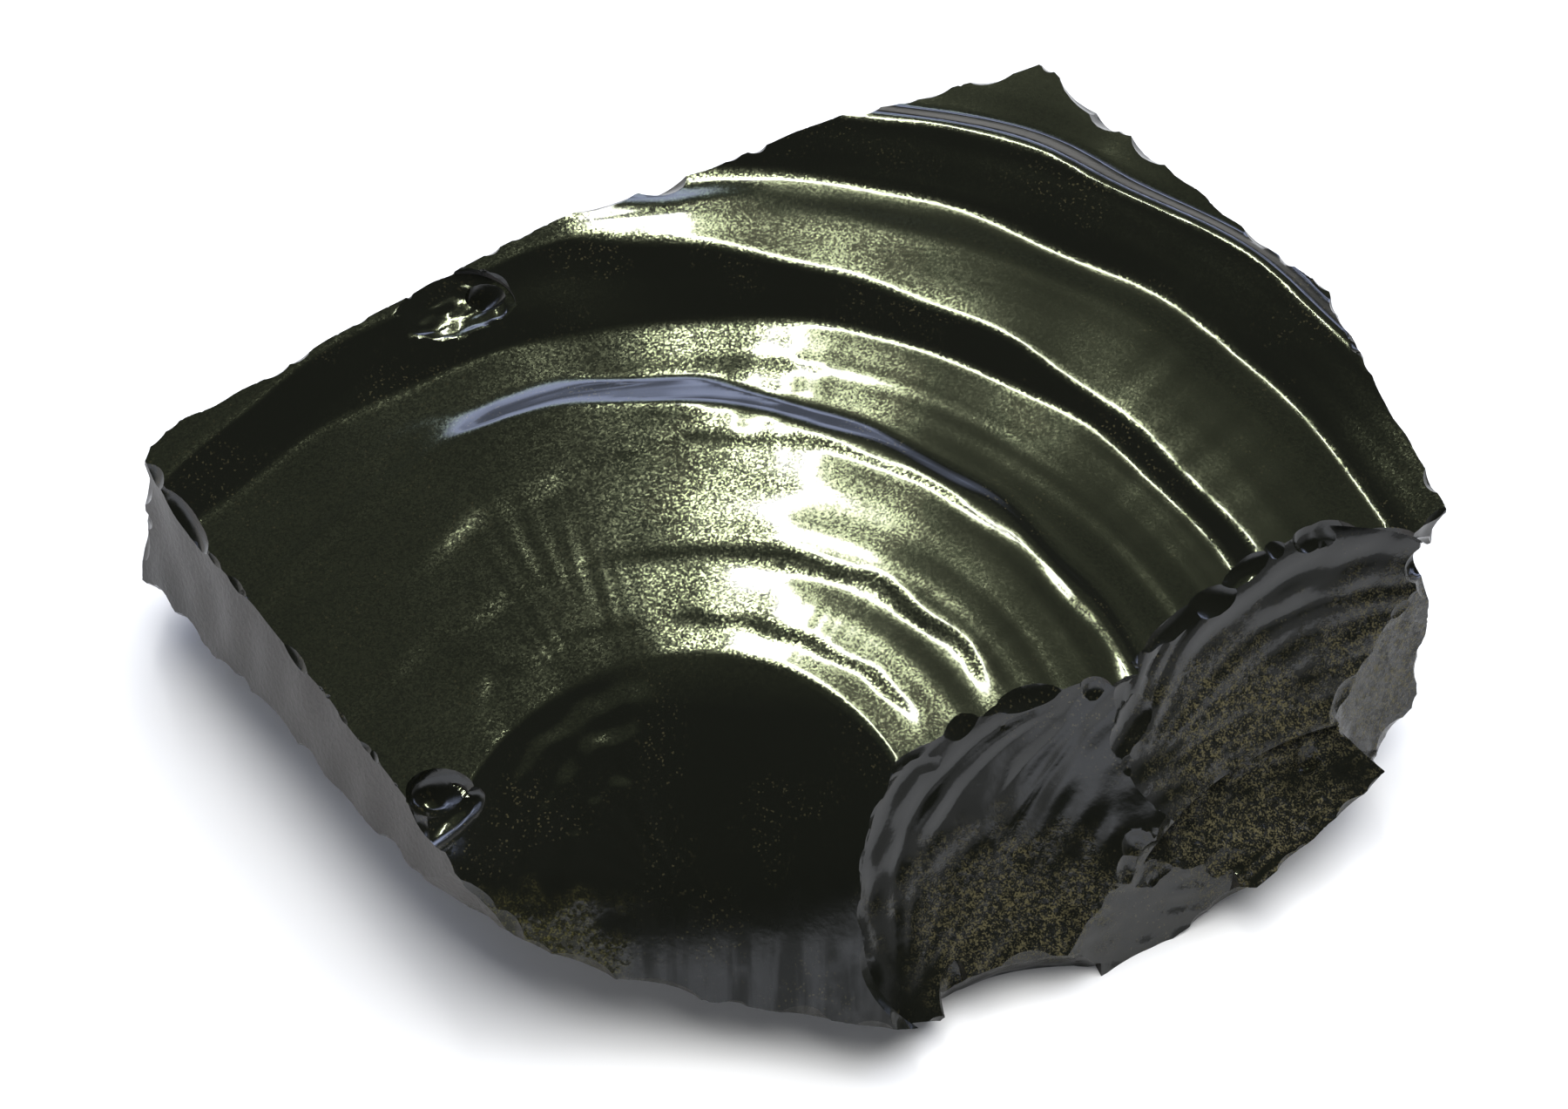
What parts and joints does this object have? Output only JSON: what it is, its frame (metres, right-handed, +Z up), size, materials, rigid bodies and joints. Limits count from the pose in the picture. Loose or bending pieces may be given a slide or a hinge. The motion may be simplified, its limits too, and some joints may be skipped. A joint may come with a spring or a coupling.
{
  "type": "obsidian chunk",
  "caption": "Loose chunk of gold-sheen obsidian with a rippled conchoidal top face, smaller scars along the front and a flat underside to rest on.",
  "frame": {"origin": "middle of the bounding box, on the surface that the chunk rests on", "axes": "+X to the right along the chunk's length, +Y to the back where it is thickest, +Z up"},
  "size_m": [0.0948, 0.0768, 0.0274],
  "materials": {
    "obsidian": "glossy opaque volcanic glass, near black with a golden olive sheen"
  },
  "bodies": {
    "root": {"obsidian_chunk": "obsidian"}
  },
  "joints": []
}
